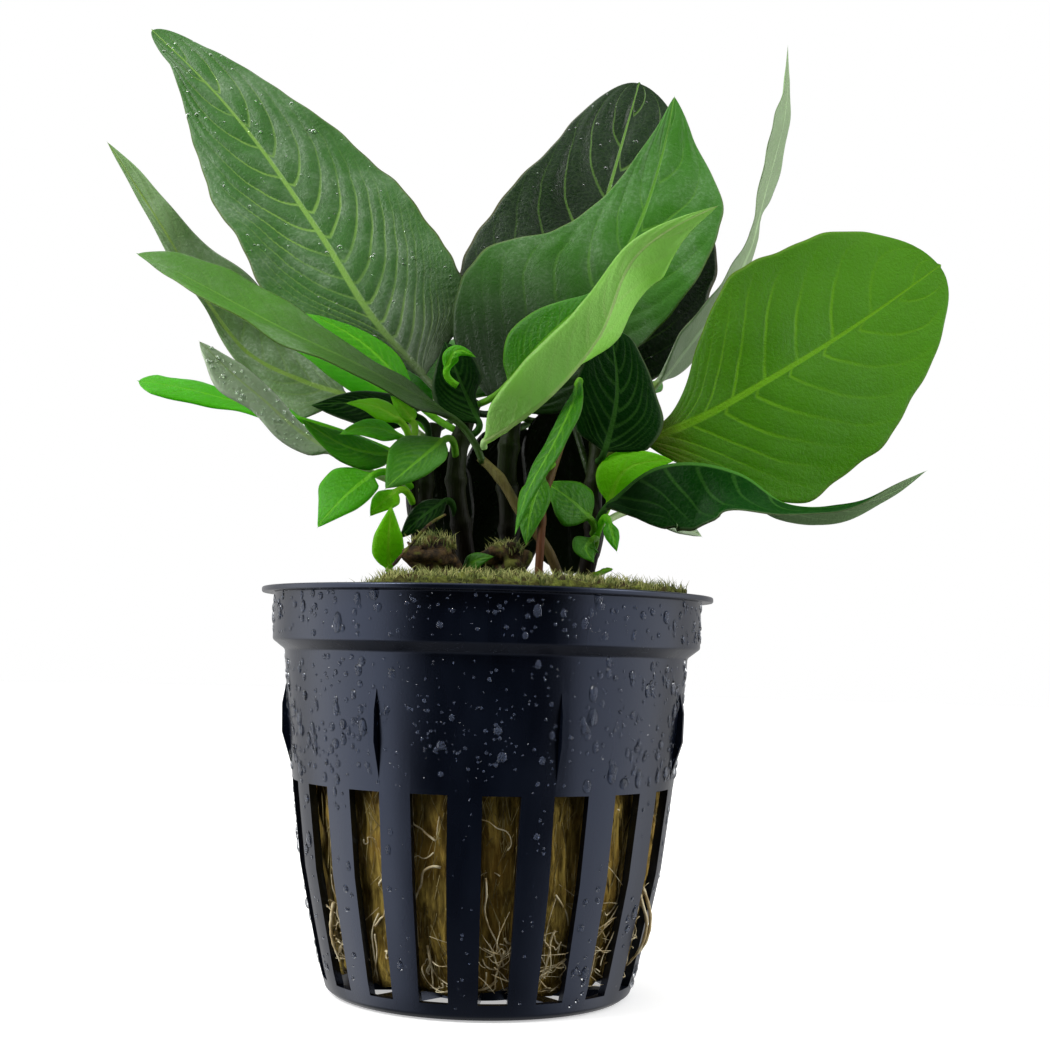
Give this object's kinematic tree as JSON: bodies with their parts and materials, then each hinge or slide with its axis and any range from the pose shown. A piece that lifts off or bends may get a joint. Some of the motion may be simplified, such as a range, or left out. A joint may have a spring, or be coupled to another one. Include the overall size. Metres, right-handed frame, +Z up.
{
  "type": "potted hygrophila",
  "caption": "Potted aquarium plant: broad ovate leaves on short stems, rooted in moss-topped rock wool in a slotted black net pot.",
  "frame": {"origin": "middle of the pot's underside", "axes": "+Z up along the pot's axis, -Y towards the picture's camera, +X to the picture's right"},
  "size_m": [0.1133, 0.0675, 0.1319],
  "materials": {
    "leaf_bright": "satin, faintly glossy",
    "leaf_dark": "satin, faintly glossy",
    "leaf_grey": "satin, faintly glossy",
    "leaf_mid": "satin, faintly glossy",
    "leaf_olive": "satin, faintly glossy",
    "leaf_pale": "satin, faintly glossy",
    "leaf_sheen": "satin, faintly glossy",
    "leaf_yellow": "satin, faintly glossy",
    "moss": "fibrous",
    "old_stem": "rough",
    "pot_plastic": "satin, wet",
    "rock_wool": "fibrous",
    "root": "dull",
    "stem": "satin"
  },
  "bodies": {
    "root": {"debris_left": "old_stem", "debris_right": "old_stem", "leaf_back_left": "leaf_mid", "leaf_back_low_left": "leaf_dark", "leaf_back_low_middle": "leaf_dark", "leaf_back_low_right": "leaf_dark", "leaf_back_middle": "leaf_mid", "leaf_back_right": "leaf_mid", "leaf_bright_centre": "leaf_bright", "leaf_bright_left_high": "leaf_bright", "leaf_bright_left_low": "leaf_bright", "leaf_broad_right": "leaf_mid", "leaf_dark_back": "leaf_dark", "leaf_dark_centre": "leaf_dark", "leaf_dark_inner": "leaf_dark", "leaf_dark_left": "leaf_dark", "leaf_dark_low_left": "leaf_dark", "leaf_far_left": "leaf_grey", "leaf_green_low_front": "leaf_mid", "leaf_grey_left": "leaf_grey", "leaf_hanging_front": "leaf_mid", "leaf_lance_left": "leaf_grey", "leaf_low_front": "leaf_mid", "leaf_olive_left": "leaf_mid", "leaf_pale_front": "leaf_pale", "leaf_pale_low_right": "leaf_grey", "leaf_pointed_low_left": "leaf_bright", "leaf_round_right": "leaf_olive", "leaf_slender_right": "leaf_grey", "leaf_small_low_right_a": "leaf_bright", "leaf_small_low_right_b": "leaf_mid", "leaf_tall_left": "leaf_sheen", "leaf_tiny_low_left": "leaf_bright", "leaf_tip_centre": "leaf_bright", "leaf_tongue_left": "leaf_bright", "leaf_twisted_low_right": "leaf_dark", "leaf_veined_low": "leaf_mid", "leaf_yellow_right": "leaf_yellow", "moss_mat": "moss", "net_pot": "pot_plastic", "rock_wool_plug": "rock_wool", "root_left": "root", "root_right_a": "root", "root_right_b": "root", "sprout_leaf_centre": "leaf_mid", "sprout_leaf_left": "leaf_bright", "sprout_leaf_right": "leaf_olive", "stem_back": "stem", "stem_front": "stem", "stem_left": "stem", "stem_middle": "stem", "stem_red": "stem", "stem_right": "stem", "stem_young": "stem", "twig": "old_stem", "young_leaf_a": "leaf_bright", "young_leaf_b": "leaf_bright", "young_leaf_c": "leaf_yellow"}
  },
  "joints": []
}
